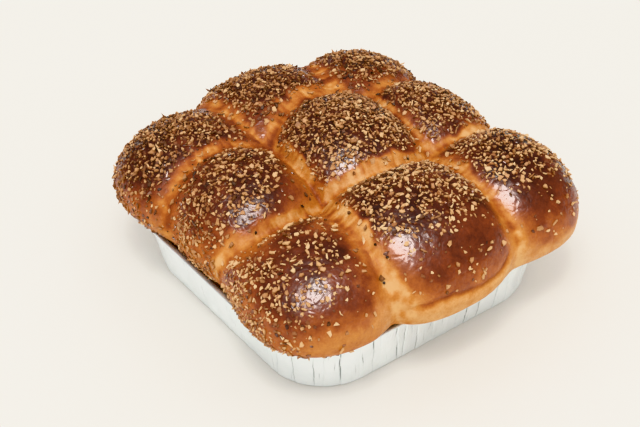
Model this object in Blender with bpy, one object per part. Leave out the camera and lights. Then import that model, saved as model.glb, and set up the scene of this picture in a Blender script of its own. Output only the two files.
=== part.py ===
"""Nine soft bread rolls baked together in a square pleated foil tin.

Metres, +Z up. The origin is the middle of the tin's underside, X and Y run along the tin's sides, and
-Y is the side that the cook would call the front. The loaf is one solid: nine rolls that have risen into
each other, domed over the rim and moulded below it by the tin, with the largest chips of toasted
onion fused on.
"""

import math
import random

import bmesh
import bpy
import numpy as np
from mathutils import Matrix, Vector

MM = 0.001

# The tin, outside sizes
TIN_RIM = 203 * MM
TIN_MOUTH = 197 * MM
TIN_BASE = 185 * MM
TIN_HEIGHT = 38 * MM
TIN_CORNER = 41 * MM
FOIL = 0.6 * MM
RIM_DEPTH = 2.2 * MM
BASE_EDGE = 2.2 * MM
PLEATS = 72
PLEAT_DEPTH = 1.2 * MM

# The loaf below the rim: clear of the foil, and drawn in from the wall towards the rim
WALL_GAP = FOIL + PLEAT_DEPTH + 0.5 * MM
LOAF_FLOOR = FOIL + 0.5 * MM
RIM_CLEAR = TIN_HEIGHT + 0.6 * MM
SHRINK_AT_RIM = 9 * MM
OVERHANG_ROUND = 9 * MM
LOAF_EDGE_ROUND = 4 * MM

# The dough between the rolls fills up to a low dome
FILL_TOP = 70 * MM
FILL_DROP = 10 * MM
FILL_DROP_REACH = 70 * MM
FILL_BLEND = 6 * MM

# The rolls: middle x and y, half-width along x and y, height of the crown, and how far the underside
# sags below the roll's middle height, in millimetres
ROLL_MIDDLE = 55 * MM
ROLL_SQUARENESS = 2.3
ROLLS = [
    (-59, -61, 52, 49, 89, 49),
    (3, -65, 63, 55, 99, 58),
    (72, -61, 48, 52, 92, 57),
    (-59, 17, 46, 55, 95, 30),
    (14, 15, 53, 65, 101, 45),
    (71, 9, 42, 57, 91, 45),
    (-54, 66, 57, 55, 90, 27),
    (5, 71, 64, 58, 94, 45),
    (55, 67, 55, 50, 89, 45),
]
# Dough squeezed out between two rolls at the rim, sized in the same way
RIM_JOINS = [
    (-83, -21, 20, 26, 72, 22),
    (-84, 44, 18, 22, 71, 20),
    (47, -88, 18, 22, 72, 26),
]
JOIN_BLEND = 9 * MM
ROLL_BLEND = 2.2 * MM
CREASE_DEPTH = 2.8 * MM
CREASE_WIDTH = 6 * MM

# How finely the loaf is faceted
TOP_CELLS = 36
SKIN_ROUNDNESS = 5.2
RAY_START = 58 * MM
RAY_START_HEIGHT = 47 * MM
CROWN_TARGET = (100 * MM, 104 * MM)
# Half-width and height that each ring of the loaf's side is aimed at, from the shoulder to the floor
SIDE_TARGETS = [
    (113 * MM, 80 * MM),
    (119 * MM, 65 * MM),
    (120 * MM, 54 * MM),
    (118 * MM, 47 * MM),
    (114 * MM, 42.5 * MM),
    (106 * MM, 40.3 * MM),
    (93 * MM, 38.8 * MM),
    (95.5 * MM, 34.5 * MM),
    (93 * MM, 16 * MM),
    (90 * MM, 4 * MM),
]
FLOOR_INSET = 3.5 * MM

# Chips of toasted onion, the largest ones
CHIP_COUNT = 185
CHIP_SPACING = 4.6 * MM
CHIP_LENGTH = (3.0 * MM, 3.9 * MM)
CHIP_STANDING = (0.9 * MM, 1.4 * MM)
CHIP_SUNK = 0.8 * MM
CHIP_SIDES = 5
CHIP_LOWEST = 50 * MM
CHIP_SEED = 11
WELD = 0.05 * MM

CRUST = ((0.42, 0.17, 0.05, 1.0), 0.45, 0.0)
ALUMINIUM = ((0.82, 0.84, 0.85, 1.0), 0.3, 1.0)


def clear_scene():
    for thing in list(bpy.data.objects):
        bpy.data.objects.remove(thing)


def make_material(name, look):
    colour, roughness, metallic = look
    material = bpy.data.materials.new(name)
    material.use_nodes = True
    shader = material.node_tree.nodes["Principled BSDF"]
    shader.inputs["Base Color"].default_value = colour
    shader.inputs["Roughness"].default_value = roughness
    shader.inputs["Metallic"].default_value = metallic
    return material


def add_object(name, form, material):
    """Makes a named object from a bmesh, with its faces turned outwards."""
    bmesh.ops.recalc_face_normals(form, faces=form.faces)
    mesh = bpy.data.meshes.new(name)
    form.to_mesh(mesh)
    form.free()
    mesh.materials.append(material)
    thing = bpy.data.objects.new(name, mesh)
    bpy.context.scene.collection.objects.link(thing)
    return thing


def rounded_square_distance(x, y, half, corner):
    """Signed distance from a square of half-width half with rounded corners, negative inside."""
    over_x = np.abs(x) - (half - corner)
    over_y = np.abs(y) - (half - corner)
    outside = np.hypot(np.maximum(over_x, 0), np.maximum(over_y, 0))
    return outside + np.minimum(np.maximum(over_x, over_y), 0) - corner


def smooth_max(a, b, reach):
    share = np.clip(0.5 + 0.5 * (a - b) / reach, 0, 1)
    return b + (a - b) * share + reach * share * (1 - share)


def smooth_min(a, b, reach):
    return -smooth_max(-a, -b, reach)


def roll_distances(points, rolls=ROLLS):
    """About how far each point is outside each of the rolls, one column for each roll."""
    columns = []
    for x, y, half_x, half_y, crown, sag in rolls:
        across = np.abs(points[:, 0] - x * MM) / (half_x * MM)
        along = np.abs(points[:, 1] - y * MM) / (half_y * MM)
        height = crown * MM - ROLL_MIDDLE
        above = points[:, 2] - ROLL_MIDDLE
        upright = np.where(above > 0, above / height, above / (sag * MM))
        plan = (across**ROLL_SQUARENESS + along**ROLL_SQUARENESS) ** (2 / ROLL_SQUARENESS)
        size = min(half_x * MM, half_y * MM, height)
        columns.append((np.sqrt(plan + upright**2) - 1) * size)
    return np.stack(columns, axis=1)


def loaf_value(points):
    """Negative inside the loaf and positive outside, about in metres."""
    x, y, z = points.T
    rolls = roll_distances(points)
    nearest = np.sort(rolls, axis=1)[:, :2]
    first = nearest[:, 0]
    joined = first - ROLL_BLEND * np.log(np.exp((first[:, None] - rolls) / ROLL_BLEND).sum(axis=1))
    joined += CREASE_DEPTH * np.exp(-(((nearest[:, 1] - first) / CREASE_WIDTH) ** 2))
    share = np.clip(z / TIN_HEIGHT, 0, 1)
    wall = TIN_BASE / 2 + (TIN_MOUTH - TIN_BASE) / 2 * share - WALL_GAP
    in_tin = rounded_square_distance(x, y, wall, TIN_CORNER)
    fill_top = FILL_TOP - FILL_DROP * (x**2 + y**2) / FILL_DROP_REACH**2
    drawn_in = in_tin + SHRINK_AT_RIM * np.clip(2 * share - 1, 0, 1)
    fill = np.maximum(drawn_in, z - fill_top)
    whole = smooth_min(joined, fill, FILL_BLEND)
    whole = smooth_min(whole, roll_distances(points, RIM_JOINS).min(axis=1), JOIN_BLEND)
    outside_tin = np.minimum(drawn_in, RIM_CLEAR - z)
    whole = smooth_max(whole, outside_tin, OVERHANG_ROUND)
    return smooth_max(whole, LOAF_FLOOR - z, LOAF_EDGE_ROUND)


def cast_to_skin(starts, targets):
    """Where each ray from inside the loaf towards its target leaves it."""
    steps = 60
    reach = 1.6
    low = np.zeros(len(starts))
    high = np.full(len(starts), reach)
    found = np.zeros(len(starts), bool)
    for step in range(1, steps + 1):
        share = reach * step / steps
        value = loaf_value(starts + (targets - starts) * share)
        leaves = (value > 0) & ~found
        high[leaves] = share
        low[leaves] = share - reach / steps
        found |= leaves
    for _ in range(14):
        middle = (low + high) / 2
        outside = loaf_value(starts + (targets - starts) * middle[:, None]) > 0
        high = np.where(outside, middle, high)
        low = np.where(outside, low, middle)
    return starts + (targets - starts) * ((low + high) / 2)[:, None]


def skin_rays(across, along, target_half, target_height):
    """Rays that fan out of the loaf. Across and along run from -1 to 1 over its square plan."""
    edge = np.maximum(np.abs(across), np.abs(along))
    round_edge = (np.abs(across) ** SKIN_ROUNDNESS + np.abs(along) ** SKIN_ROUNDNESS) ** (1 / SKIN_ROUNDNESS)
    rounding = edge / np.maximum(round_edge, 1e-9)
    start_height = np.full_like(across, RAY_START_HEIGHT)
    starts = np.stack([across * RAY_START, along * RAY_START, start_height], axis=1)
    targets = np.stack(
        [
            across * rounding * target_half,
            along * rounding * target_half,
            np.full_like(across, target_height),
        ],
        axis=1,
    )
    return starts, targets


def square_ring(cells):
    """Grid places round the edge of a square grid, anticlockwise, without repeats."""
    ring = [(i, 0) for i in range(cells)]
    ring += [(cells, j) for j in range(cells)]
    ring += [(cells - i, cells) for i in range(cells)]
    ring += [(0, cells - j) for j in range(cells)]
    return ring


def build_loaf_form():
    """The loaf's skin: a grid over the top, rings down the side, and a flat floor."""
    form = bmesh.new()
    line = np.linspace(-1, 1, TOP_CELLS + 1)
    across, along = (grid.ravel() for grid in np.meshgrid(line, line, indexing="ij"))
    top = cast_to_skin(*skin_rays(across, along, *CROWN_TARGET))
    grid = [form.verts.new(point) for point in top]
    place = lambda i, j: grid[i * (TOP_CELLS + 1) + j]
    for i in range(TOP_CELLS):
        for j in range(TOP_CELLS):
            form.faces.new([place(i, j), place(i + 1, j), place(i + 1, j + 1), place(i, j + 1)])
    ring = square_ring(TOP_CELLS)
    ring_across = np.array([line[i] for i, _ in ring])
    ring_along = np.array([line[j] for _, j in ring])
    above = [place(i, j) for i, j in ring]
    for target in SIDE_TARGETS:
        points = cast_to_skin(*skin_rays(ring_across, ring_along, *target))
        above = add_ring(form, above, points)
    floor = points.copy()
    width = np.abs(points[:, :2]).max()
    floor[:, :2] *= 1 - FLOOR_INSET / width
    floor[:, 2] = LOAF_FLOOR
    form.faces.new(add_ring(form, above, floor))
    return form


def add_ring(form, above, points):
    """Adds a closed ring of points and the faces that join it to the ring above."""
    below = [form.verts.new(point) for point in points]
    for k in range(len(above)):
        after = (k + 1) % len(above)
        form.faces.new([above[k], below[k], below[after], above[after]])
    return below


def skin_normals(points):
    step = 0.4 * MM
    slopes = [
        loaf_value(points + np.eye(3)[axis] * step) - loaf_value(points - np.eye(3)[axis] * step)
        for axis in range(3)
    ]
    normals = np.stack(slopes, axis=1)
    return normals / np.linalg.norm(normals, axis=1, keepdims=True)


def crown_share(points):
    """1 on the crown of a roll, falling to 0 in the creases, where no chip is placed."""
    rolls = np.sort(roll_distances(points), axis=1)
    return np.clip((rolls[:, 1] - rolls[:, 0]) / (2 * CREASE_WIDTH) - 0.2, 0, 1)


def chip_places():
    """Points and normals for the chips: crowns first, spread evenly, from seeded draws."""
    draw = random.Random(CHIP_SEED)
    tries = 4000
    across = np.array([draw.uniform(-1, 1) for _ in range(tries)])
    along = np.array([draw.uniform(-1, 1) for _ in range(tries)])
    luck = np.array([draw.random() for _ in range(tries)])
    points = cast_to_skin(*skin_rays(across, along, *CROWN_TARGET))
    normals = skin_normals(points)
    wanted = crown_share(points) * np.clip(1.6 * normals[:, 2] - 0.2, 0, 1)
    chosen = []
    for point, normal, want, chance in zip(points, normals, wanted, luck):
        if chance > want or point[2] < CHIP_LOWEST:
            continue
        if all(np.linalg.norm(point - other) > CHIP_SPACING for other, _ in chosen):
            chosen.append((point, normal))
        if len(chosen) == CHIP_COUNT:
            break
    return chosen


def chip_form(draw):
    """A small uneven slab, wider at its foot than on top."""
    form = bmesh.new()
    length = draw.uniform(*CHIP_LENGTH) / 2
    width = length * draw.uniform(0.6, 0.85)
    standing = draw.uniform(*CHIP_STANDING)
    angles = [2 * math.pi * (k + draw.uniform(-0.25, 0.25)) / CHIP_SIDES for k in range(CHIP_SIDES)]
    foot = [form.verts.new((length * math.cos(a), width * math.sin(a), -CHIP_SUNK)) for a in angles]
    crown = [
        form.verts.new((0.8 * length * math.cos(a), 0.75 * width * math.sin(a), standing)) for a in angles
    ]
    form.faces.new(foot)
    form.faces.new(crown)
    for k in range(CHIP_SIDES):
        after = (k + 1) % CHIP_SIDES
        form.faces.new([foot[k], foot[after], crown[after], crown[k]])
    return form


def fuse_chips(loaf, material):
    """Joins the chips to the loaf with one union, and removes the loose chips."""
    draw = random.Random(CHIP_SEED + 1)
    chips = bpy.data.collections.new("chips")
    bpy.context.scene.collection.children.link(chips)
    for number, (point, normal) in enumerate(chip_places()):
        chip = add_object(f"chip_{number}", chip_form(draw), material)
        turn = Matrix.Rotation(draw.uniform(0, 2 * math.pi), 4, "Z")
        tilt = Vector(normal).to_track_quat("Z", "Y").to_matrix().to_4x4()
        chip.matrix_world = Matrix.Translation(Vector(point)) @ tilt @ turn
        bpy.context.scene.collection.objects.unlink(chip)
        chips.objects.link(chip)
    union = loaf.modifiers.new("chips", "BOOLEAN")
    union.operation = "UNION"
    union.operand_type = "COLLECTION"
    union.collection = chips
    union.solver = "MANIFOLD"
    bpy.context.view_layer.update()
    bpy.context.view_layer.objects.active = loaf
    bpy.ops.object.modifier_apply(modifier=union.name)
    for chip in list(chips.objects):
        bpy.data.objects.remove(chip)
    bpy.data.collections.remove(chips)
    tidy_union(loaf.data)


def tidy_union(mesh):
    """Welds the slivers that the union leaves and keeps only the one large skin."""
    form = bmesh.new()
    form.from_mesh(mesh)
    bmesh.ops.triangulate(form, faces=form.faces)
    bmesh.ops.remove_doubles(form, verts=form.verts, dist=WELD)
    bmesh.ops.dissolve_degenerate(form, edges=form.edges, dist=WELD)
    bmesh.ops.triangulate(form, faces=form.faces)
    skins = []
    waiting = set(form.faces)
    while waiting:
        skin = {waiting.pop()}
        edge_of_skin = list(skin)
        while edge_of_skin:
            for edge in edge_of_skin.pop().edges:
                for face in edge.link_faces:
                    if face not in skin:
                        skin.add(face)
                        edge_of_skin.append(face)
        waiting -= skin
        skins.append(skin)
    largest = max(skins, key=len)
    scraps = [face for face in form.faces if face not in largest]
    bmesh.ops.delete(form, geom=scraps, context="FACES")
    form.to_mesh(mesh)
    form.free()


def build_loaf():
    material = make_material("crust", CRUST)
    loaf = add_object("bread", build_loaf_form(), material)
    fuse_chips(loaf, material)
    return loaf


def outline_stations(count):
    """Even places round the tin: the point one corner radius inside the wall, and the way outwards."""
    half = TIN_MOUTH / 2 - TIN_CORNER
    side = 2 * half
    arc = TIN_CORNER * math.pi / 2
    total = 4 * (side + arc)
    stations = []
    for k in range(count):
        run = total * k / count
        quarter, rest = divmod(run, side + arc)
        if rest < side:
            middle = (half, -half + rest)
            angle = 0.0
        else:
            middle = (half, half)
            angle = (rest - side) / TIN_CORNER
        turn = quarter * math.pi / 2
        cos, sin = math.cos(turn), math.sin(turn)
        centre = (cos * middle[0] - sin * middle[1], sin * middle[0] + cos * middle[1])
        stations.append((centre, angle + turn))
    return stations


def tin_ring(form, stations, half, height, pleating):
    """A ring of points at this half-width and height, every second one drawn in by the pleats."""
    ring = []
    spread = half / (TIN_MOUTH / 2)
    for k, ((x, y), angle) in enumerate(stations):
        radius = half - (TIN_MOUTH / 2 - TIN_CORNER) * spread - PLEAT_DEPTH * pleating * (k % 2)
        wall_x = x * spread + radius * math.cos(angle)
        wall_y = y * spread + radius * math.sin(angle)
        ring.append(form.verts.new((wall_x, wall_y, height)))
    return ring


def build_tin():
    """A pressed foil tray: flat base, pleated flaring wall and rolled rim."""
    form = bmesh.new()
    stations = outline_stations(2 * PLEATS)
    slope = (TIN_MOUTH - TIN_BASE) / 2 / TIN_HEIGHT
    wall_top = TIN_HEIGHT - RIM_DEPTH
    base, mouth, rim = TIN_BASE / 2, TIN_MOUTH / 2, TIN_RIM / 2
    profile = [
        (base - BASE_EDGE, 0.0, 0.0),
        (base, BASE_EDGE, 0.9),
        (base + slope * wall_top, wall_top, 0.7),
        (rim - 0.5 * MM, wall_top, 0.0),
        (rim, TIN_HEIGHT - RIM_DEPTH / 2, 0.0),
        (rim - 0.9 * MM, TIN_HEIGHT, 0.0),
        (mouth - 0.2 * MM, TIN_HEIGHT - 0.3 * MM, 0.0),
        (base + slope * wall_top - FOIL, wall_top - FOIL, 0.7),
        (base - FOIL, BASE_EDGE + FOIL, 0.9),
        (base - BASE_EDGE - FOIL, FOIL, 0.0),
    ]
    rings = [tin_ring(form, stations, *place) for place in profile]
    for lower, upper in zip(rings, rings[1:]):
        for k in range(len(lower)):
            after = (k + 1) % len(lower)
            form.faces.new([lower[k], lower[after], upper[after], upper[k]])
    form.faces.new(rings[0])
    form.faces.new(rings[-1])
    return add_object("foil_tin", form, make_material("foil", ALUMINIUM))


def main():
    clear_scene()
    build_tin()
    build_loaf()


main()
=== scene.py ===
"""Looks for a loaf of nine pull-apart rolls in a foil tin, topped with chips of toasted onion."""

import math

import bpy
import numpy as np
from mathutils import Matrix, Vector

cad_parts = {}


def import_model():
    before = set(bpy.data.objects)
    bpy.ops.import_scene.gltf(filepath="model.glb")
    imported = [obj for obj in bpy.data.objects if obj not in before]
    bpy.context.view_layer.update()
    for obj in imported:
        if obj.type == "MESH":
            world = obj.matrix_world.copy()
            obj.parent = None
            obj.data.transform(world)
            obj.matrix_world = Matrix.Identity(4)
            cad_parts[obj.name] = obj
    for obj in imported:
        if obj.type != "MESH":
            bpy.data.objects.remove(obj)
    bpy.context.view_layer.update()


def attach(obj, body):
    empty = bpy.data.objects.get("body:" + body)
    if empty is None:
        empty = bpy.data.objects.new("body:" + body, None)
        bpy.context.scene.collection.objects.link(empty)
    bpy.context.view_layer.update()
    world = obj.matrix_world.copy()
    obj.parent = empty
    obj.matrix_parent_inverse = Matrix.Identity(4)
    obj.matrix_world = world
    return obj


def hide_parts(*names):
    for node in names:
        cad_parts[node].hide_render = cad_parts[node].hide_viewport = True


MM = 0.001

# The tin and the rolls, as in the part's source
TIN_RIM = 203 * MM
TIN_MOUTH = 197 * MM
TIN_BASE = 185 * MM
TIN_HEIGHT = 38 * MM
TIN_CORNER = 41 * MM
FOIL = 0.6 * MM
RIM_DEPTH = 2.2 * MM
BASE_EDGE = 2.2 * MM
PLEATS = 72
PLEAT_DEPTH = 1.2 * MM
WALL_GAP = FOIL + PLEAT_DEPTH + 0.5 * MM
LOAF_FLOOR = FOIL + 0.5 * MM
RIM_CLEAR = TIN_HEIGHT + 0.6 * MM
SHRINK_AT_RIM = 9 * MM
OVERHANG_ROUND = 9 * MM
LOAF_EDGE_ROUND = 4 * MM
FILL_TOP = 70 * MM
FILL_DROP = 10 * MM
FILL_DROP_REACH = 70 * MM
FILL_BLEND = 6 * MM
ROLL_MIDDLE = 55 * MM
ROLL_SQUARENESS = 2.3
ROLLS = [
    (-59, -61, 52, 49, 89, 49),
    (3, -65, 63, 55, 99, 58),
    (72, -61, 48, 52, 92, 57),
    (-59, 17, 46, 55, 95, 30),
    (14, 15, 53, 65, 101, 45),
    (71, 9, 42, 57, 91, 45),
    (-54, 66, 57, 55, 90, 27),
    (5, 71, 64, 58, 94, 45),
    (55, 67, 55, 50, 89, 45),
]
RIM_JOINS = [
    (-83, -21, 20, 26, 72, 22),
    (-84, 44, 18, 22, 71, 20),
    (47, -88, 18, 22, 72, 26),
]
JOIN_BLEND = 9 * MM
ROLL_BLEND = 2.2 * MM
CREASE_DEPTH = 2.8 * MM
CREASE_WIDTH = 6 * MM
SKIN_ROUNDNESS = 5.2
RAY_START = 58 * MM
RAY_START_HEIGHT = 47 * MM
CROWN_TARGET = (100 * MM, 104 * MM)
SIDE_TARGETS = [
    (113 * MM, 80 * MM),
    (119 * MM, 65 * MM),
    (120 * MM, 54 * MM),
    (118 * MM, 47 * MM),
    (114 * MM, 42.5 * MM),
    (106 * MM, 40.3 * MM),
    (93 * MM, 38.8 * MM),
    (95.5 * MM, 34.5 * MM),
    (93 * MM, 16 * MM),
    (90 * MM, 4 * MM),
]
FLOOR_INSET = 3.5 * MM

# The fine skin: cells across its top, and rings from one side target to the next
TOP_CELLS = 216
SIDE_STEPS = (5, 6, 6, 5, 5, 4, 4, 3, 3, 2)

# How far each kind of relief stands out from the smooth skin or sinks into it
LUMPS = 0.6 * MM
DIMPLES = 0.2 * MM
STRANDS = 0.28 * MM
WRINKLES = 0.2 * MM
FOLD_LIP = 0.8 * MM
FOLD_CRACK = 1.5 * MM

# The crack under the swollen lip on the front of one roll: height against x, in millimetres
FOLD_ROLL = 1
FOLD_X = (-36, -20, -9, 7, 17, 27, 34, 41)
FOLD_Z = (55, 60, 59, 56, 55, 56, 58, 64)

# The fine foil: places round the wall, short creases between the pleats, and how wide both are
TIN_STATIONS = 2160
SHORT_CREASES = 150
GROOVE_WIDTH = 0.26 * MM
SHORT_GROOVE_WIDTH = 0.22 * MM

# The topping: places that are tried, the most bits of one kind, and how thin and how thick a bit may be
TOPPING_TRIES = 90000
MOST_BITS = 5200
BIT_THICKNESS = (0.3 * MM, 1.2 * MM)

# Places of single burnt bits in the pale bands, across and along, in millimetres
BURNT_BITS = [(-69, -19), (-78, -22), (-36, -81), (-43, -98), (-35, -91), (-44, -21), (21, -3), (30, -28)]

# Where the topping lies on each roll, in shares of the roll's half-widths from its middle: the patch's
# middle across and along, its reach across and along, and how thickly it lies
TOPPING = [
    (-0.30, 0.06, 0.82, 0.82, 0.44),
    (0.06, 0.04, 0.84, 0.62, 0.95),
    (0.15, 0.18, 0.90, 0.72, 1.05),
    (-0.34, 0.16, 0.82, 0.78, 1.25),
    (0.03, 0.12, 0.86, 0.80, 1.95),
    (0.15, 0.12, 0.90, 0.82, 1.60),
    (-0.14, 0.26, 0.86, 0.72, 1.60),
    (0.00, 0.26, 0.84, 0.84, 1.70),
    (0.20, 0.18, 0.88, 0.86, 1.50),
]

# How much darker each roll is baked than the palest ones, and the rolls that differ in other ways
DARKER = [0.0, 0.05, 0.09, 0.0, 0.03, 0.0, 0.03, 0.0, 0.0]
PALE_SKIRT_ROLL = 2
DULL_ROLL = 3
SPARSE_FLANK_ROLL = 6

# The pale torn band beside each crease, in millimetres: between these two rolls, how wide it is on the
# first roll and on the second
PALE_BANDS = [
    (0, 1, 2, 10),
    (1, 2, 3, 6),
    (3, 4, 1, 10),
    (4, 5, 1, 9),
    (6, 7, 1, 5),
    (7, 8, 1, 4),
    (0, 3, 3, 12),
    (1, 4, 5, 12),
    (2, 5, 2, 7),
    (3, 6, 1, 4),
    (4, 7, 2, 9),
    (5, 8, 1, 5),
]
OTHER_PALE_BAND = 1
BAND_FADE = 6 * MM
# How much the distances of two rolls differ for each millimetre away from the crease between them
CREASE_SLOPE = 0.6

# Noise: cells before it repeats, and the cell that lies at the origin
NOISE_CELLS = 32
NOISE_ORIGIN = 500


def value_noise(points, size, seed):
    """Smooth noise between -1 and 1 whose lumps are about this size."""
    table = np.random.RandomState(seed).uniform(-1, 1, (NOISE_CELLS,) * 3)
    turn = np.array([[0.8, 0.36, -0.48], [-0.6, 0.48, -0.64], [0.0, 0.8, 0.6]])
    place = points @ turn / size + NOISE_ORIGIN
    base = np.floor(place).astype(int)
    part = place - base
    part = part * part * (3 - 2 * part)
    total = np.zeros(len(points))
    for dx in (0, 1):
        for dy in (0, 1):
            for dz in (0, 1):
                weight = (
                    np.where(dx, part[:, 0], 1 - part[:, 0])
                    * np.where(dy, part[:, 1], 1 - part[:, 1])
                    * np.where(dz, part[:, 2], 1 - part[:, 2])
                )
                cell = (base + (dx, dy, dz)) % NOISE_CELLS
                total += weight * table[cell[:, 0], cell[:, 1], cell[:, 2]]
    return total


def cloud(points, size, seed, layers=3):
    """Noise with finer layers, each half as large and half as strong as the one before."""
    total = np.zeros(len(points))
    for layer in range(layers):
        total += value_noise(points, size / 2**layer, seed + layer) / 2**layer
    return total


def smoothstep(low, high, value):
    share = np.clip((value - low) / (high - low), 0, 1)
    return share * share * (3 - 2 * share)


def rounded_square_distance(x, y, half, corner):
    """Signed distance from a square of half-width half with rounded corners, negative inside."""
    over_x = np.abs(x) - (half - corner)
    over_y = np.abs(y) - (half - corner)
    outside = np.hypot(np.maximum(over_x, 0), np.maximum(over_y, 0))
    return outside + np.minimum(np.maximum(over_x, over_y), 0) - corner


def smooth_max(a, b, reach):
    share = np.clip(0.5 + 0.5 * (a - b) / reach, 0, 1)
    return b + (a - b) * share + reach * share * (1 - share)


def smooth_min(a, b, reach):
    return -smooth_max(-a, -b, reach)


def roll_distances(points, rolls=ROLLS):
    """About how far each point is outside each of the rolls, one column for each roll."""
    columns = []
    for x, y, half_x, half_y, crown, sag in rolls:
        across = np.abs(points[:, 0] - x * MM) / (half_x * MM)
        along = np.abs(points[:, 1] - y * MM) / (half_y * MM)
        height = crown * MM - ROLL_MIDDLE
        above = points[:, 2] - ROLL_MIDDLE
        upright = np.where(above > 0, above / height, above / (sag * MM))
        plan = (across**ROLL_SQUARENESS + along**ROLL_SQUARENESS) ** (2 / ROLL_SQUARENESS)
        size = min(half_x * MM, half_y * MM, height)
        columns.append((np.sqrt(plan + upright**2) - 1) * size)
    return np.stack(columns, axis=1)


def loaf_value(points):
    """Negative inside the loaf and positive outside, about in metres."""
    x, y, z = points.T
    rolls = roll_distances(points)
    nearest = np.partition(rolls, 1, axis=1)[:, :2]
    first = nearest[:, 0]
    joined = first - ROLL_BLEND * np.log(np.exp((first[:, None] - rolls) / ROLL_BLEND).sum(axis=1))
    joined += CREASE_DEPTH * np.exp(-(((nearest[:, 1] - first) / CREASE_WIDTH) ** 2))
    share = np.clip(z / TIN_HEIGHT, 0, 1)
    wall = TIN_BASE / 2 + (TIN_MOUTH - TIN_BASE) / 2 * share - WALL_GAP
    in_tin = rounded_square_distance(x, y, wall, TIN_CORNER)
    fill_top = FILL_TOP - FILL_DROP * (x**2 + y**2) / FILL_DROP_REACH**2
    drawn_in = in_tin + SHRINK_AT_RIM * np.clip(2 * share - 1, 0, 1)
    fill = np.maximum(drawn_in, z - fill_top)
    whole = smooth_min(joined, fill, FILL_BLEND)
    whole = smooth_min(whole, roll_distances(points, RIM_JOINS).min(axis=1), JOIN_BLEND)
    outside_tin = np.minimum(drawn_in, RIM_CLEAR - z)
    whole = smooth_max(whole, outside_tin, OVERHANG_ROUND)
    return smooth_max(whole, LOAF_FLOOR - z, LOAF_EDGE_ROUND)


def cast_to_skin(starts, targets):
    """Where each ray from inside the loaf towards its target leaves it."""
    steps = 48
    reach = 1.6
    low = np.zeros(len(starts))
    high = np.full(len(starts), reach)
    waiting = np.arange(len(starts))
    for step in range(1, steps + 1):
        share = reach * step / steps
        value = loaf_value(starts[waiting] + (targets[waiting] - starts[waiting]) * share)
        out = value > 0
        high[waiting[out]] = share
        low[waiting[out]] = share - reach / steps
        waiting = waiting[~out]
        if len(waiting) == 0:
            break
    for _ in range(12):
        middle = (low + high) / 2
        outside = loaf_value(starts + (targets - starts) * middle[:, None]) > 0
        high = np.where(outside, middle, high)
        low = np.where(outside, low, middle)
    return starts + (targets - starts) * ((low + high) / 2)[:, None]


def skin_rays(across, along, target_half, target_height):
    """Rays that fan out of the loaf. Across and along run from -1 to 1 over its square plan."""
    edge = np.maximum(np.abs(across), np.abs(along))
    round_edge = (np.abs(across) ** SKIN_ROUNDNESS + np.abs(along) ** SKIN_ROUNDNESS) ** (1 / SKIN_ROUNDNESS)
    rounding = edge / np.maximum(round_edge, 1e-9)
    start_height = np.full_like(across, RAY_START_HEIGHT)
    starts = np.stack([across * RAY_START, along * RAY_START, start_height], axis=1)
    targets = np.stack(
        [
            across * rounding * target_half,
            along * rounding * target_half,
            np.full_like(across, target_height),
        ],
        axis=1,
    )
    return starts, targets


def skin_normals(points):
    step = 0.6 * MM
    slopes = [
        loaf_value(points + np.eye(3)[axis] * step) - loaf_value(points - np.eye(3)[axis] * step)
        for axis in range(3)
    ]
    normals = np.stack(slopes, axis=1)
    return normals / np.linalg.norm(normals, axis=1, keepdims=True)


def square_ring(cells):
    """Grid places round the edge of a square grid, anticlockwise, without repeats."""
    ring = [(i, 0) for i in range(cells)]
    ring += [(cells, j) for j in range(cells)]
    ring += [(cells - i, cells) for i in range(cells)]
    ring += [(0, cells - j) for j in range(cells)]
    return ring


def make_mesh(name, points, faces, smooth=True):
    mesh = bpy.data.meshes.new(name)
    mesh.from_pydata(points.tolist(), [], faces)
    mesh.update()
    if smooth:
        mesh.shade_smooth()
    thing = bpy.data.objects.new(name, mesh)
    bpy.context.scene.collection.objects.link(thing)
    return thing


def store(thing, name, values):
    """Keeps one value for each point, for the material to read."""
    layer = thing.data.attributes.new(name, "FLOAT", "POINT")
    layer.data.foreach_set("value", np.ascontiguousarray(values, np.float32))


def loaf_grid():
    """Points of the fine skin, and the faces between them."""
    line = np.linspace(-1, 1, TOP_CELLS + 1)
    across, along = (grid.ravel() for grid in np.meshgrid(line, line, indexing="ij"))
    groups = [cast_to_skin(*skin_rays(across, along, *CROWN_TARGET))]
    faces = []
    for i in range(TOP_CELLS):
        for j in range(TOP_CELLS):
            a = i * (TOP_CELLS + 1) + j
            b = a + TOP_CELLS + 1
            faces.append((a, b, b + 1, a + 1))
    ring = square_ring(TOP_CELLS)
    ring_across = np.array([line[i] for i, _ in ring])
    ring_along = np.array([line[j] for _, j in ring])
    above = [i * (TOP_CELLS + 1) + j for i, j in ring]
    size = len(ring)
    count = len(groups[0])
    before = CROWN_TARGET
    for target, steps in zip(SIDE_TARGETS, SIDE_STEPS):
        for step in range(1, steps + 1):
            share = step / steps
            half = before[0] + (target[0] - before[0]) * share
            height = before[1] + (target[1] - before[1]) * share
            points = cast_to_skin(*skin_rays(ring_across, ring_along, half, height))
            groups.append(points)
            below = list(range(count, count + size))
            count += size
            for k in range(size):
                after = (k + 1) % size
                faces.append((above[k], below[k], below[after], above[after]))
            above = below
        before = target
    floor = points.copy()
    floor[:, :2] *= 1 - FLOOR_INSET / np.abs(points[:, :2]).max()
    floor[:, 2] = LOAF_FLOOR
    groups.append(floor)
    below = list(range(count, count + size))
    for k in range(size):
        after = (k + 1) % size
        faces.append((above[k], below[k], below[after], above[after]))
    faces.append(tuple(reversed(below)))
    return np.concatenate(groups), faces


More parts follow.
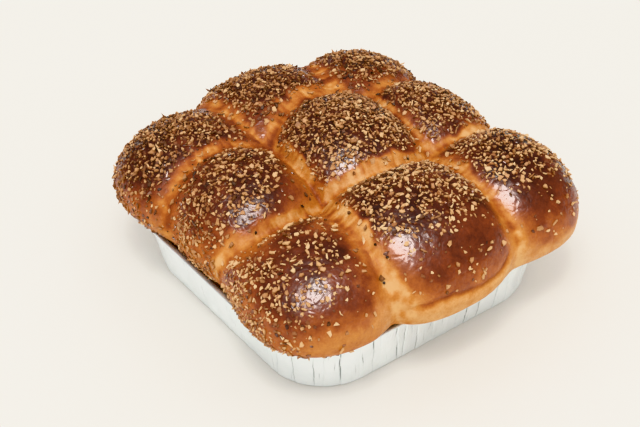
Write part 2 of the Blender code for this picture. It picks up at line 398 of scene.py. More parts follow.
def crease_field(points):
    """How far past the nearest crease each point is, its place along that crease, and its roll."""
    rolls = roll_distances(points)
    order = np.argsort(rolls, axis=1)[:, :2]
    nearest = np.take_along_axis(rolls, order, axis=1)
    middles = np.array([(x, y) for x, y, *_ in ROLLS]) * MM
    across = middles[order.max(axis=1)] - middles[order.min(axis=1)]
    across /= np.linalg.norm(across, axis=1, keepdims=True)
    along = points[:, 0] * -across[:, 1] + points[:, 1] * across[:, 0]
    return (nearest[:, 1] - nearest[:, 0]) / CREASE_SLOPE, along, order[:, 0]


def fold_field(points, roll):
    """Height above the fold's crack, and how strongly the fold shows."""
    x, y, z = points.T
    crack = np.interp(x, np.array(FOLD_X) * MM, np.array(FOLD_Z) * MM)
    ends = smoothstep(-40 * MM, -26 * MM, x) * smoothstep(46 * MM, 34 * MM, x)
    shown = ends * (roll == FOLD_ROLL) * smoothstep(-92 * MM, -104 * MM, y)
    return z - crack, shown


def topping_share(points, roll, normals):
    """How thickly the topping lies, from 0 to about 1.3."""
    patches = np.array(TOPPING)[roll]
    sizes = np.array(ROLLS, float)[roll]
    across = (points[:, 0] / MM - sizes[:, 0]) / sizes[:, 2]
    along = (points[:, 1] / MM - sizes[:, 1]) / sizes[:, 3]
    away = np.hypot((across - patches[:, 0]) / patches[:, 2], (along - patches[:, 1]) / patches[:, 3])
    share = patches[:, 4] * smoothstep(1.25, 0.7, away)
    left = smoothstep(-82 * MM, -96 * MM, points[:, 0]) * np.where(roll == SPARSE_FLANK_ROLL, 0.5, 1.0)
    left *= smoothstep(-104 * MM, -84 * MM, points[:, 1])
    rare = 0.09 * smoothstep(0.0, 0.5, normals[:, 2])
    return np.maximum(np.maximum(share, 0.85 * left), rare)


def brown_share(points, ragged):
    """0 in the pale torn bands beside the creases, rising to 1 on the glazed crowns."""
    uneven = 0.9 + 0.45 * cloud(points, 26 * MM, 27, 2)
    widths = np.full((len(ROLLS), len(ROLLS)), OTHER_PALE_BAND * MM)
    for first, second, on_first, on_second in PALE_BANDS:
        widths[first, second] = on_first * MM
        widths[second, first] = on_second * MM
    rolls = roll_distances(points)
    nearest = np.argmin(rolls, axis=1)
    least = rolls.min(axis=1)
    share = np.ones(len(points))
    for other in range(len(ROLLS)):
        width = widths[nearest, other] * uneven
        gap = (rolls[:, other] - least) / CREASE_SLOPE + ragged
        rises = smoothstep(width - 0.4 * BAND_FADE, width + 0.6 * BAND_FADE, gap)
        share *= np.where(nearest == other, 1, rises)
    return share


class Skin:
    """The loaf's fine skin, and what is known at each of its points."""

    def __init__(self):
        self.points, self.faces = loaf_grid()
        self.height = self.points[:, 2]
        self.normals = skin_normals(self.points)
        self.gap, along, self.roll = crease_field(self.points)
        self.above_fold, self.fold = fold_field(self.points, self.roll)
        self.above_fold += 1.6 * MM * cloud(self.points, 11 * MM, 52, 2)
        self.brown = brown_share(self.points, 2.6 * MM * cloud(self.points, 8 * MM, 21, 3))
        self.torn = 1 - self.brown
        strand_place = np.stack([along, self.height * 0.22, self.gap * 0.1], axis=1)
        self.strands = cloud(strand_place, 2.2 * MM, 40, 2)
        self.topping = topping_share(self.points, self.roll, self.normals)

    def raise_relief(self):
        """Moves the points out of the smooth skin, above the rim only."""
        lumps = cloud(self.points, 21 * MM, 3)
        dimples = cloud(self.points, 7 * MM, 9)
        wrinkles = np.abs(cloud(self.points, 4.2 * MM, 14, 2))
        lift = LUMPS * lumps + DIMPLES * dimples + STRANDS * self.strands * self.torn - WRINKLES * wrinkles
        lift += self.fold * FOLD_LIP * np.exp(-(((self.above_fold + 6 * MM) / (4.5 * MM)) ** 2))
        lift -= self.fold * FOLD_CRACK * np.exp(-((self.above_fold / (1.7 * MM)) ** 2))
        above_rim = smoothstep(40 * MM, 47 * MM, self.height)
        self.points = self.points + self.normals * (lift * above_rim)[:, None]

    def browning_and_shade(self):
        """How darkly each point is baked, with painted shade along the creases, in the fold's crack, under
        thick topping and towards the back, and how thickly it is glazed.
        """
        mottle = cloud(self.points, 14 * MM, 33)
        crowns = np.array([crown for *_, crown, _ in ROLLS])[self.roll] * MM
        up = smoothstep(0.08, 0.95, (self.height + 4 * MM * mottle - 46 * MM) / (crowns - 46 * MM))
        # Painted shade: towards the back the crust is coloured darker, in the pale bands and beside the
        # creases
        shade_towards_back = smoothstep(-60 * MM, 50 * MM, self.points[:, 1])
        least = 0.5 + 0.15 * shade_towards_back
        beside = least + (1 - least) * smoothstep(0, 22 * MM, self.gap + 5 * MM * mottle)
        darker = np.array(DARKER)[self.roll] * smoothstep(48 * MM, 62 * MM, self.height)
        bake_and_shade = self.brown * (0.3 + 0.39 * up + 0.09 * mottle + darker) * beside
        # Darker where the topping lies thick: partly browner crust, partly painted shade under and between
        # the bits
        bake_and_shade += 0.1 * self.brown * np.clip(self.topping, 0, 1.4)
        blotches = cloud(self.points, 7 * MM, 57, 2)
        bake_and_shade += self.torn * (0.12 + 0.16 * shade_towards_back + 0.15 * self.strands + 0.19 * blotches)
        # Painted shade: a patchy darker line along the bottom of each crease
        crease_shade = smoothstep(-0.5, 0.5, cloud(self.points, 15 * MM, 66))
        bake_and_shade += 0.26 * crease_shade * np.exp(-((self.gap / (3 * MM)) ** 2))
        lip = self.fold * smoothstep(2 * MM, -2.5 * MM, self.above_fold)
        skirt = smoothstep(60 * MM, 49 * MM, self.height + 3 * MM * mottle)
        bake_and_shade *= (1 - 0.72 * lip) * (1 - 0.6 * skirt * (self.roll == PALE_SKIRT_ROLL))
        # Painted shade: darker along the fold's crack
        bake_and_shade += 0.22 * self.fold * np.exp(-((self.above_fold / (1.8 * MM)) ** 2))
        dulled = np.where(self.roll == DULL_ROLL, 0.55, 1.0)
        glaze = self.brown * (0.35 + 0.65 * up) * (1 - 0.6 * lip) * dulled
        return np.clip(bake_and_shade, 0, 1.1), np.clip(glaze, 0, 1)


def build_crust():
    skin = Skin()
    skin.raise_relief()
    bake_and_shade, glaze = skin.browning_and_shade()
    crust = make_mesh("crust", skin.points, skin.faces)
    store(crust, "bake_and_shade", bake_and_shade)
    store(crust, "glaze", glaze)
    return crust


def surface_samples(crust, count, seed):
    """Seeded places spread evenly over the crust above the rim, with their normals."""
    draw = np.random.RandomState(seed)
    mesh = crust.data
    mesh.calc_loop_triangles()
    places = np.empty(3 * len(mesh.vertices))
    mesh.vertices.foreach_get("co", places)
    places = places.reshape(-1, 3)
    corners = np.empty(3 * len(mesh.loop_triangles), np.int32)
    mesh.loop_triangles.foreach_get("vertices", corners)
    corners = corners.reshape(-1, 3)
    corners = corners[places[corners[:, 0], 2] > TIN_HEIGHT + 3 * MM]
    first, second, third = (places[corners[:, k]] for k in range(3))
    areas = np.linalg.norm(np.cross(second - first, third - first), axis=1)
    pick = draw.choice(len(areas), count, p=areas / areas.sum())
    share = draw.uniform(0, 1, (count, 2))
    share[share.sum(axis=1) > 1] = 1 - share[share.sum(axis=1) > 1]
    u, v = share[:, :1], share[:, 1:]
    points = first[pick] + (second[pick] - first[pick]) * u + (third[pick] - first[pick]) * v
    return points, skin_normals(points)


def spread_out(points, wanted, spacing, limit, seed):
    """Picks places by chance, weighted by wanted, that keep their distance from those already taken."""
    draw = np.random.RandomState(seed)
    luck = draw.uniform(0, 1, len(points))
    cell = 4 * MM
    taken = {}
    chosen = []
    for k, (point, want, chance) in enumerate(zip(points, wanted, luck)):
        if chance > want:
            continue
        room = spacing[k]
        key = tuple((point // cell).astype(int))
        near = [
            other
            for dx in (-1, 0, 1)
            for dy in (-1, 0, 1)
            for dz in (-1, 0, 1)
            for other in taken.get((key[0] + dx, key[1] + dy, key[2] + dz), ())
        ]
        if any(np.sum((point - other) ** 2) < room * room for other in near):
            continue
        taken.setdefault(key, []).append(point)
        chosen.append(k)
        if len(chosen) == limit:
            break
    return np.array(chosen)


class Kind:
    """What one kind of topping bit looks like; widths and thicknesses are shares of its length."""

    def __init__(self, sides, width, thick, sunk, lean, curl):
        self.sides = sides
        self.width = width
        self.thick = thick
        self.sunk = sunk
        self.lean = lean
        self.curl = curl


FLAKE = Kind(5, (0.5, 0.95), (0.14, 0.34), 0.2, 0.36, (-0.3, 0.5))
SLIVER = Kind(6, (0.18, 0.34), (0.12, 0.22), 0.1, 0.30, (-0.5, 0.9))
CRUMB = Kind(5, (0.6, 1.0), (0.4, 0.7), 0.3, 0.5, (0.0, 0.0))
EMBEDDED = Kind(6, (0.5, 0.9), (0.22, 0.34), 0.62, 0.12, (-0.1, 0.2))


def bit_forms(draw, kind, lengths):
    """The points of each uneven bit, lying flat round its own middle, and how thick it is."""
    count, sides = len(lengths), kind.sides
    angles = 2 * math.pi * (np.arange(sides) + draw.uniform(-0.38, 0.38, (count, sides))) / sides
    radii = draw.uniform(0.6, 1.25, (count, sides))
    half = lengths[:, None] / 2
    widths = draw.uniform(*kind.width, (count, 1))
    thick = np.clip(lengths * draw.uniform(*kind.thick, count), *BIT_THICKNESS)[:, None]
    x = half * radii * np.cos(angles)
    y = half * widths * radii * np.sin(angles)
    rings = []
    for scale, level in ((0.85, -0.5), (1.0, 0.0), (0.84, 0.5)):
        wobble = draw.uniform(-0.16, 0.16, (count, sides)) * thick
        rings.append(np.stack([x * scale, y * scale, level * thick + wobble], axis=2))
    foot = np.zeros((count, 1, 3))
    foot[:, 0, 2] = -0.5 * thick[:, 0]
    crown = np.zeros((count, 1, 3))
    crown[:, 0, 2] = 0.55 * thick[:, 0]
    bits = np.concatenate(rings + [foot, crown], axis=1)
    bits[:, :, 2] += draw.uniform(*kind.curl, (count, 1)) * half * (bits[:, :, 0] / half) ** 2
    return bits, thick


def bit_axes(draw, normals, spread):
    """Each bit's own directions, turned at random and leaning off the skin, one in ten of them far."""
    count = len(normals)
    lean = draw.normal(0, spread, (count, 3))
    lean[draw.uniform(0, 1, count) < 0.1] *= 3
    up = normals + lean
    up /= np.linalg.norm(up, axis=1, keepdims=True)
    side = np.cross(up, draw.normal(0, 1, (count, 3)))
    side /= np.linalg.norm(side, axis=1, keepdims=True)
    return np.stack([side, np.cross(up, side), up], axis=1)


def bit_faces(sides):
    """The faces of one bit: a fan below, two bands round its edge and a fan on top."""
    faces = []
    for k in range(sides):
        after = (k + 1) % sides
        faces.append((3 * sides, after, k))
        faces.append((k, after, sides + after, sides + k))
        faces.append((sides + k, sides + after, 2 * sides + after, 2 * sides + k))
        faces.append((2 * sides + k, 2 * sides + after, 3 * sides + 1))
    return faces


def scatter(name, kind, points, normals, lengths, tones, seed):
    """One mesh of small uneven bits lying on the skin."""
    draw = np.random.RandomState(seed)
    bits, thick = bit_forms(draw, kind, lengths)
    placed = np.einsum("nki,nij->nkj", bits, bit_axes(draw, normals, kind.lean))
    placed += (points + normals * thick * (0.5 - kind.sunk))[:, None, :]
    count, each = bits.shape[:2]
    pattern = bit_faces(kind.sides)
    faces = [tuple(n * each + corner for corner in face) for n in range(count) for face in pattern]
    thing = make_mesh(name, placed.reshape(-1, 3), faces, smooth=False)
    # Each bit is darker round its rim and lightest at the middle of its top: partly toasted edges, partly
    # painted shade at the rims and underside
    ring = np.ones(kind.sides)
    edge = np.concatenate([0.6 * ring, ring, 0.55 * ring, [0.2, 0.0]])
    store(thing, "tone", np.repeat(tones, each))
    store(thing, "edge", np.tile(edge, count))
    return thing


def toasted_tones(draw, count):
    """Mostly pale tones, with a few dark ones among them."""
    dark = draw.uniform(0, 1, count) < 0.07
    return np.where(dark, draw.normal(0.62, 0.1, count), draw.normal(0.26, 0.15, count))


def tones_about(middle, spread):
    return lambda draw, count: draw.normal(middle, spread, count)


def build_topping(crust):
    """The toasted onion that lies loose, as a list of meshes, and the chips baked into the glaze."""
    points, normals = surface_samples(crust, TOPPING_TRIES, 5)
    gap, _, roll = crease_field(points)
    share = topping_share(points, roll, normals)
    out_of_crease = smoothstep(2 * MM, 14 * MM, gap)
    brown = brown_share(points, 0)
    patchy = np.clip(1 + 0.4 * cloud(points, 14 * MM, 61, 2), 0.2, 2)
    wanted = share * (0.13 + 0.87 * out_of_crease) * (0.34 + 0.66 * brown) * patchy
    size = np.random.RandomState(17).uniform(0, 1, len(points))

    def lot(name, kind, density, shortest, longest, tones, seed):
        lengths = (shortest + (longest - shortest) * size**1.4) * MM
        chosen = spread_out(points, density, lengths * 0.6, MOST_BITS, seed)
        # Painted shade: bits further back get a darker tone
        shade_towards_back = smoothstep(-60 * MM, 60 * MM, points[chosen, 1])
        tone = np.clip(tones(np.random.RandomState(seed), len(chosen)) + 0.18 * shade_towards_back, 0, 0.85)
        return scatter(name, kind, points[chosen], normals[chosen], lengths[chosen], tone, seed + 1)

    loose = [
        lot("onion_chips", FLAKE, 0.15 * wanted, 2.0, 4.8, toasted_tones, 23),
        lot("onion_slivers", SLIVER, 0.018 * wanted, 3.4, 5.8, toasted_tones, 41),
        lot("onion_crumbs", CRUMB, 0.05 * wanted, 0.8, 1.5, tones_about(0.36, 0.16), 47),
        build_burnt_bits(),
    ]
    in_glaze = 0.05 * wanted * brown**3
    return loose, lot("glazed_onion", EMBEDDED, in_glaze, 2.2, 4.2, tones_about(0.35, 0.2), 59)


def build_burnt_bits():
    """The few burnt bits that lie alone on the pale dough."""
    places = np.array(BURNT_BITS) * MM
    low = np.full(len(places), RAY_START_HEIGHT)
    high = np.full(len(places), CROWN_TARGET[1] + 10 * MM)
    for _ in range(24):
        middle = (low + high) / 2
        outside = loaf_value(np.column_stack([places, middle])) > 0
        high = np.where(outside, middle, high)
        low = np.where(outside, low, middle)
    points = np.column_stack([places, low])
    lengths = np.linspace(2.0, 2.8, len(points)) * MM
    tones = np.full(len(points), 0.95)
    return scatter("burnt_bits", CRUMB, points, skin_normals(points), lengths, tones, 71)


def station_arrays(count):
    """Places round the tin: the point one corner radius inside the wall, the way outwards, the run."""
    half = TIN_MOUTH / 2 - TIN_CORNER
    side = 2 * half
    arc = TIN_CORNER * math.pi / 2
    run = np.arange(count) * 4 * (side + arc) / count
    quarter = np.floor(run / (side + arc))
    rest = run - quarter * (side + arc)
    straight = rest < side
    x = np.full(count, half)
    y = np.where(straight, rest - half, half)
    angle = np.where(straight, 0, (rest - side) / TIN_CORNER)
    turn = quarter * math.pi / 2
    middle_x = np.cos(turn) * x - np.sin(turn) * y
    middle_y = np.sin(turn) * x + np.cos(turn) * y
    return middle_x, middle_y, angle + turn, run


def crease_lines(count, seed, total):
    """Where creases start round the wall, how deep each is, how far it leans, and the draw to go on with."""
    draw = np.random.RandomState(seed)
    starts = (np.arange(count) + 0.5 + draw.uniform(-0.32, 0.32, count)) * total / count
    return starts, draw.uniform(0.3, 1.0, count), draw.normal(0, 1.6 * MM, count), draw


def pleat_depths(run, total, height):
    """How far the wall is drawn in at each station, at this height: folds, with a sharp groove at each. The
    grooves' depth is also returned as the mask of painted shade in the foil's creases.
    """
    pitch = total / PLEATS
    starts, depths, leans, _ = crease_lines(PLEATS, 77, total)
    sway = np.stack([np.full(PLEATS, height), np.arange(PLEATS) * 40 * MM, np.zeros(PLEATS)], axis=1)
    zigzag = 0.7 * MM * cloud(sway, 7 * MM, 91, 2)
    strength = np.clip(0.65 + 0.7 * value_noise(sway, 13 * MM, 95), 0.1, 1.2)
    drawn = np.zeros(len(run))
    groove_depth_and_shade = np.zeros(len(run))
    for start, depth, lean, sideways, strong in zip(starts, depths, leans, zigzag, strength):
        middle = start + lean * (height / TIN_HEIGHT - 0.5) + sideways
        away = (run - middle + total / 2) % total - total / 2
        rising = np.clip(1 + away / (0.8 * pitch), 0, 1)
        falling = np.clip(1 - away / (0.8 * MM), 0, 1)
        drawn = np.maximum(drawn, 0.75 * depth * np.where(away < 0, rising, falling))
        groove_depth_and_shade += depth * strong * np.exp(-((away / GROOVE_WIDTH) ** 2))
    starts, depths, leans, draw = crease_lines(SHORT_CREASES, 79, total)
    middles = draw.uniform(3 * MM, TIN_HEIGHT, SHORT_CREASES)
    reaches = draw.uniform(3 * MM, 9 * MM, SHORT_CREASES)
    for start, depth, lean, level, reach in zip(starts, depths, 3 * leans, middles, reaches):
        away = (run - start - lean * (height / TIN_HEIGHT - 0.5) + total / 2) % total - total / 2
        shown = np.exp(-(((height - level) / reach) ** 2))
        groove_depth_and_shade += 0.6 * depth * shown * np.exp(-((away / SHORT_GROOVE_WIDTH) ** 2))
    return PLEAT_DEPTH * (drawn + 0.7 * groove_depth_and_shade), groove_depth_and_shade


def tin_profile():
    """Half-width, height, share of the pleats and share of the dents, from below round to the inside."""
    slope = (TIN_MOUTH - TIN_BASE) / 2 / TIN_HEIGHT
    wall_top = TIN_HEIGHT - RIM_DEPTH
    base, mouth, rim = TIN_BASE / 2, TIN_MOUTH / 2, TIN_RIM / 2
    skin = 0.35 * MM
    bead = 0.9 * MM
    profile = []
    for share in np.linspace(0, 1, 5):
        turn = share * math.pi / 2
        half = base - BASE_EDGE + BASE_EDGE * math.sin(turn)
        profile.append((half, BASE_EDGE * (1 - math.cos(turn)), 0.2 + 0.5 * share, 1))
    for share in np.linspace(0, 1, 14)[1:]:
        height = BASE_EDGE + (wall_top - BASE_EDGE) * share
        flatten = 0.72 + 0.28 * math.sin(math.pi * share) - 0.5 * smoothstep(0.9, 1.0, share)
        profile.append((base + slope * height, height, flatten, 1))
    profile.append((rim - 1.6 * MM, wall_top + 0.3 * MM, 0.05, 0.4))
    for share in np.linspace(0, 1, 7):
        turn = -math.pi / 2 + share * math.pi
        height = wall_top + 1.0 * MM + bead * math.sin(turn)
        profile.append((rim - bead + bead * math.cos(turn), height, 0.0, 0.3))
    profile.append((rim - 1.9 * MM, wall_top + 1.55 * MM, 0.0, 0.3))
    profile.append((mouth - 0.2 * MM, wall_top + 1.5 * MM, 0.05, 0.3))
    for share in np.linspace(1, 0, 8):
        height = BASE_EDGE + (wall_top - BASE_EDGE) * share
        profile.append((base + slope * height - skin, height, 0.8, 1))
    profile.append((base - BASE_EDGE, skin, 0.2, 0.3))
    return profile


def build_tin():
    count = TIN_STATIONS
    middle_x, middle_y, angle, run = station_arrays(count)
    half_side = TIN_MOUTH / 2 - TIN_CORNER
    total = 4 * (2 * half_side + TIN_CORNER * math.pi / 2)
    rings = []
    groove_depths_and_shade = []
    for half, height, pleating, crumple in tin_profile():
        spread = half / (TIN_MOUTH / 2)
        wall_x = middle_x + np.cos(angle) * TIN_CORNER
        wall_y = middle_y + np.sin(angle) * TIN_CORNER
        place = np.stack([wall_x, wall_y, np.full(count, height)], axis=1)
        dents = 0.25 * MM * crumple * cloud(place, 13 * MM, 83) * smoothstep(0, 4 * MM, height)
        dents += 0.10 * MM * crumple * np.abs(cloud(place, 5 * MM, 87, 2))
        drawn, groove_depth_and_shade = pleat_depths(run, total, height)
        radius = half - half_side * spread - drawn * pleating + dents
        groove_depths_and_shade.append(groove_depth_and_shade * pleating)
        ripple = 0.3 * MM * value_noise(place * [1, 1, 0], 30 * MM, 85)
        x = middle_x * spread + radius * np.cos(angle)
        y = middle_y * spread + radius * np.sin(angle)
        rings.append(np.stack([x, y, height + ripple * smoothstep(32 * MM, TIN_HEIGHT, height)], axis=1))
    faces = []
    for row in range(len(rings) - 1):
        lower, upper = row * count, (row + 1) * count
        for k in range(count):
            after = (k + 1) % count
            faces.append((lower + k, lower + after, upper + after, upper + k))
    faces.append(tuple(reversed(range(count))))
    faces.append(tuple(range((len(rings) - 1) * count, len(rings) * count)))
    tin = make_mesh("pleated_tin", np.concatenate(rings), faces)
    # Painted shade: the grooves' depth is kept so that the foil's creases can be coloured dark
    store(tin, "groove_depth_and_shade", np.clip(np.concatenate(groove_depths_and_shade), 0, 1))
    return tin


class Shader:
    """A material's node tree, with short ways to add and join its nodes."""

    def __init__(self, name):
        self.material = bpy.data.materials.new(name)
        self.material.use_nodes = True
        self.tree = self.material.node_tree
        self.surface = self.tree.nodes["Principled BSDF"]

    def add(self, kind, settings=None, inputs=None):
        node = self.tree.nodes.new(kind)
        for key, value in (settings or {}).items():
            setattr(node, key, value)
        for key, value in (inputs or {}).items():
            if isinstance(value, bpy.types.NodeSocket):
                self.tree.links.new(value, node.inputs[key])
            else:
                node.inputs[key].default_value = value
        return node

    def set(self, **values):
        for key, value in values.items():
            socket = self.surface.inputs[key.replace("_", " ")]
            if isinstance(value, bpy.types.NodeSocket):
                self.tree.links.new(value, socket)
            else:
                socket.default_value = value

    def field(self, name):
        return self.add("ShaderNodeAttribute", {"attribute_name": name}).outputs["Fac"]

    def place(self):
        return self.add("ShaderNodeTexCoord").outputs["Object"]

    def warped(self, amount):
        """Object coordinates pushed about a little, so that cells come out uneven."""
        inputs = {"Vector": self.place(), "Scale": 180.0, "Detail": 2.0}
        wander = self.add("ShaderNodeTexNoise", None, inputs).outputs["Color"]
        settings = {"operation": "MULTIPLY_ADD"}
        pushed = self.add("ShaderNodeVectorMath", settings, {0: wander, 1: (amount,) * 3, 2: self.place()})
        return pushed.outputs[0]

    def noise(self, scale, detail=3.0, roughness=0.55, where=None):
        where = where or self.place()
        inputs = {"Vector": where, "Scale": scale, "Detail": detail, "Roughness": roughness}
        return self.add("ShaderNodeTexNoise", None, inputs).outputs["Fac"]

    def sum(self, *terms):
        """The sum of value times weight over the terms."""
        total = None
        for value, weight in terms:
            part = self.add("ShaderNodeMath", {"operation": "MULTIPLY"}, {0: value, 1: weight}).outputs[0]
            if total is not None:
                part = self.add("ShaderNodeMath", {"operation": "ADD"}, {0: total, 1: part}).outputs[0]
            total = part
        return total

    def shift(self, value, amount):
        return self.add("ShaderNodeMath", {"operation": "ADD"}, {0: value, 1: amount}).outputs[0]

    def map(self, value, low, high, to_low, to_high):
        names = ("Value", "From Min", "From Max", "To Min", "To Max")
        inputs = dict(zip(names, (value, low, high, to_low, to_high)))
        return self.add("ShaderNodeMapRange", {"interpolation_type": "SMOOTHSTEP"}, inputs).outputs["Result"]

    def ramp(self, value, stops):
        node = self.add("ShaderNodeValToRGB", None, {"Fac": value})
        elements = node.color_ramp.elements
        while len(elements) < len(stops):
            elements.new(0.5)
        for element, (position, colour) in zip(elements, stops):
            element.position = position
            element.color = linear(colour)
        return node.outputs["Color"]

    def mix(self, share, first, second):
        node = self.add("ShaderNodeMix", {"data_type": "RGBA"})
        for socket, value in (("Factor", share), ("A", first), ("B", second)):
            target = next(s for s in node.inputs if s.name == socket and s.enabled)
            if isinstance(value, bpy.types.NodeSocket):
                self.tree.links.new(value, target)
            else:
                target.default_value = value
        return next(s for s in node.outputs if s.enabled)

    def bump(self, height, distance, strength=1.0, before=None):
        inputs = {"Height": height, "Distance": distance, "Strength": strength}
        if before:
            inputs["Normal"] = before
        return self.add("ShaderNodeBump", None, inputs).outputs["Normal"]


def linear(colour):
    """A colour given as 0 to 255 on screen, as the shader's own values."""
    values = [c / 255 for c in colour]
    return [c / 12.92 if c <= 0.04045 else ((c + 0.055) / 1.055) ** 2.4 for c in values] + [1.0]


def crust_material():
    s = Shader("glazed_crust")
    bake_and_shade = s.field("bake_and_shade")
    glaze = s.field("glaze")
    blotch = s.noise(150.0, 5.0, 0.62)
    grain = s.noise(700.0, 4.0, 0.65)
    browning_and_shade = s.sum((bake_and_shade, 1.0), (s.shift(blotch, -0.5), 0.42), (s.shift(grain, -0.5), 0.22))
    colour = s.ramp(
        browning_and_shade,
        [
            (0.00, (219, 171, 114)),
            (0.20, (198, 131, 64)),
            (0.40, (170, 92, 38)),
            (0.60, (128, 55, 21)),
            (0.80, (84, 32, 14)),
            (1.00, (48, 18, 9)),
        ],
    )
    uneven = {"Vector": s.warped(0.004), "Scale": 210.0}
    cells = s.add("ShaderNodeTexVoronoi", {"feature": "DISTANCE_TO_EDGE"}, uneven)
    ridge = s.map(cells.outputs["Distance"], 0.0, 0.3, 0.0, 1.0)
    wrinkled = s.sum((s.noise(130.0, 2.0, 0.5), 1.0), (ridge, 0.15), (s.noise(420.0, 2.0, 0.5), 0.12))
    skin = s.bump(wrinkled, 0.0012, 0.55)
    normal = s.bump(s.noise(900.0, 4.0, 0.6), 0.0004, 0.5, skin)
    s.set(
        Base_Color=colour,
        Roughness=s.map(glaze, 0.0, 1.0, 0.66, 0.5),
        Coat_Weight=s.map(glaze, 0.05, 0.85, 0.05, 1.0),
        Coat_Roughness=0.26,
        Coat_IOR=1.5,
        Normal=normal,
        Specular_IOR_Level=0.25,
    )
    s.tree.links.new(skin, s.surface.inputs["Coat Normal"])
    return s.material


def onion_material(name, stops, coat):
    s = Shader(name)
    speckle = s.noise(1500.0, 3.0, 0.6)
    # The edge value darkens each bit's rim: partly toasted edges, partly painted shade
    toast_and_shade = s.sum((s.field("tone"), 1.0), (s.field("edge"), 0.16), (s.shift(speckle, -0.5), 0.34))
    s.set(
        Base_Color=s.ramp(toast_and_shade, stops),
        Roughness=0.6,
        Coat_Weight=coat,
        Coat_Roughness=0.25,
        Normal=s.bump(s.noise(2200.0, 2.0, 0.5), 0.0003, 0.4),
        Specular_IOR_Level=0.4,
    )
    return s.material


TOASTED = [
    (0.00, (230, 198, 152)),
    (0.28, (212, 168, 118)),
    (0.52, (178, 124, 78)),
    (0.75, (120, 74, 42)),
    (1.00, (52, 31, 20)),
]
GLAZED = [
    (0.00, (172, 112, 60)),
    (0.40, (136, 76, 38)),
    (0.70, (96, 48, 24)),
    (1.00, (50, 24, 13)),
]


def foil_material():
    s = Shader("bright_foil")
    grime = s.noise(60.0, 4.0, 0.6)
    bright = s.ramp(grime, [(0.3, (236, 242, 243)), (0.75, (246, 250, 251))])
    # Painted shade: the foil is coloured near black along its creases
    colour = s.mix(s.map(s.field("groove_depth_and_shade"), 0.08, 0.6, 0.0, 0.88), bright, (0.05, 0.055, 0.05, 1.0))
    drawn_out = {0: s.place(), 1: (1.0, 1.0, 0.3)}
    upright = s.add("ShaderNodeVectorMath", {"operation": "MULTIPLY"}, drawn_out).outputs[0]
    crinkle = s.sum(
        (s.noise(150.0, 4.0, 0.6, upright), 1.0),
        (s.noise(420.0, 2.0, 0.5, upright), 0.3),
        (s.noise(120.0, 3.0, 0.5), 0.4),
    )
    s.set(
        Base_Color=colour,
        Metallic=0.55,
        Roughness=s.map(grime, 0.3, 0.8, 0.28, 0.4),
        Normal=s.bump(crinkle, 0.0009, 0.6),
    )
    return s.material


def floor_material():
    s = Shader("pale_table")
    colour = s.ramp(s.noise(3.0, 2.0, 0.5), [(0.3, (234, 231, 224)), (0.7, (236, 233, 227))])
    s.set(Base_Color=colour, Roughness=0.75, Specular_IOR_Level=0.2)
    return s.material


def add_floor():
    size = 3.0
    corners = np.array([(-size, -size, 0), (size, -size, 0), (size, size, 0), (-size, size, 0)], float)
    floor = make_mesh("table_top", corners, [(0, 1, 2, 3)], smooth=False)
    floor.data.materials.append(floor_material())


# The camera, from the tin's rim and base corners in the photograph
PHOTO_WIDTH = 640
FOCAL_PIXELS = 1700
CAMERA_AZIMUTH = math.radians(-35.68)
CAMERA_ELEVATION = math.radians(38.65)
CAMERA_ROLL = math.radians(-1.26)
CAMERA_DISTANCE = 1.0772
CAMERA_TARGET = Vector((-0.0031, 0.0179, 0.030))
SENSOR = 36.0

# The studio's strength, and its strength as seen in gloss
STUDIO = 1.17
STUDIO_IN_GLOSS = 0.15
# The lamps: azimuth and elevation in degrees, distance and width, power in watts, and colour
SOFTBOX = (-44, 70, 2.2, 0.71, 15.5, (1.0, 0.99, 0.97))
REFLECTOR = (-44, 68, 2.4, 1.1, 85, (1.0, 0.89, 0.84))


def direction(azimuth, elevation):
    """The way to what stands at this azimuth, counted from the front, and elevation."""
    return Vector(
        (
            math.sin(azimuth) * math.cos(elevation),
            -math.cos(azimuth) * math.cos(elevation),
            math.sin(elevation),
        )
    )


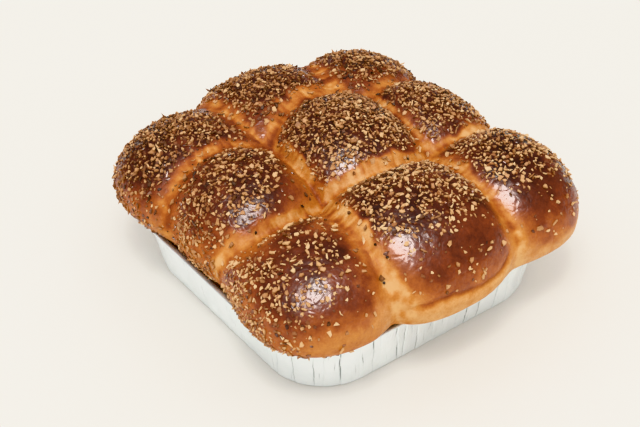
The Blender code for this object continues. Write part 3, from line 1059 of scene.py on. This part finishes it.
def add_camera():
    data = bpy.data.cameras.new("camera")
    data.sensor_width = SENSOR
    data.lens = FOCAL_PIXELS * SENSOR / PHOTO_WIDTH
    camera = bpy.data.objects.new("camera", data)
    bpy.context.scene.collection.objects.link(camera)
    back = direction(CAMERA_AZIMUTH, CAMERA_ELEVATION)
    right = Vector((math.cos(CAMERA_AZIMUTH), math.sin(CAMERA_AZIMUTH), 0))
    up = back.cross(right)
    turned_right = right * math.cos(CAMERA_ROLL) + up * math.sin(CAMERA_ROLL)
    turned_up = up * math.cos(CAMERA_ROLL) - right * math.sin(CAMERA_ROLL)
    axes = Matrix((turned_right, turned_up, back)).transposed().to_4x4()
    camera.matrix_world = Matrix.Translation(CAMERA_TARGET + back * CAMERA_DISTANCE) @ axes
    bpy.context.scene.camera = camera


def add_lamp(name, azimuth, elevation, distance, size, power, colour):
    data = bpy.data.lights.new(name, "AREA")
    data.shape = "SQUARE"
    data.size = size
    data.energy = power
    data.color = colour
    lamp = bpy.data.objects.new(name, data)
    bpy.context.scene.collection.objects.link(lamp)
    aim = direction(math.radians(azimuth), math.radians(elevation))
    middle = Vector((0, 0, 0.05))
    lamp.location = middle + aim * distance
    lamp.rotation_euler = aim.to_track_quat("Z", "Y").to_euler()
    return lamp


def add_light():
    """A pale studio that shows faintly in gloss, a softbox for the shadow and a panel for the highlights."""
    world = bpy.data.worlds.new("studio")
    bpy.context.scene.world = world
    world.use_nodes = True
    nodes, links = world.node_tree.nodes, world.node_tree.links
    background = nodes["Background"]
    background.inputs["Color"].default_value = (1.0, 1.0, 0.99, 1.0)
    kind_of_ray = nodes.new("ShaderNodeLightPath")
    strength = nodes.new("ShaderNodeMapRange")
    strength.inputs["To Min"].default_value = STUDIO
    strength.inputs["To Max"].default_value = STUDIO_IN_GLOSS
    links.new(kind_of_ray.outputs["Is Glossy Ray"], strength.inputs["Value"])
    links.new(strength.outputs["Result"], background.inputs["Strength"])
    add_lamp("softbox", *SOFTBOX)
    panel = add_lamp("reflector", *REFLECTOR)
    panel.visible_diffuse = False
    bpy.context.scene.view_settings.view_transform = "Khronos PBR Neutral"


def main():
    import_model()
    add_camera()
    add_light()
    add_floor()
    crust = build_crust()
    crust.data.materials.append(crust_material())
    loose, glazed = build_topping(crust)
    toasted_onion = onion_material("toasted_onion", TOASTED, 0.0)
    for topping in loose:
        topping.data.materials.append(toasted_onion)
    glazed.data.materials.append(onion_material("glazed_onion", GLAZED, 0.8))
    tin = build_tin()
    tin.data.materials.append(foil_material())
    for piece in (crust, *loose, glazed):
        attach(piece, "root")
    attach(tin, "root")
    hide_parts("bread")
    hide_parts("foil_tin")


main()
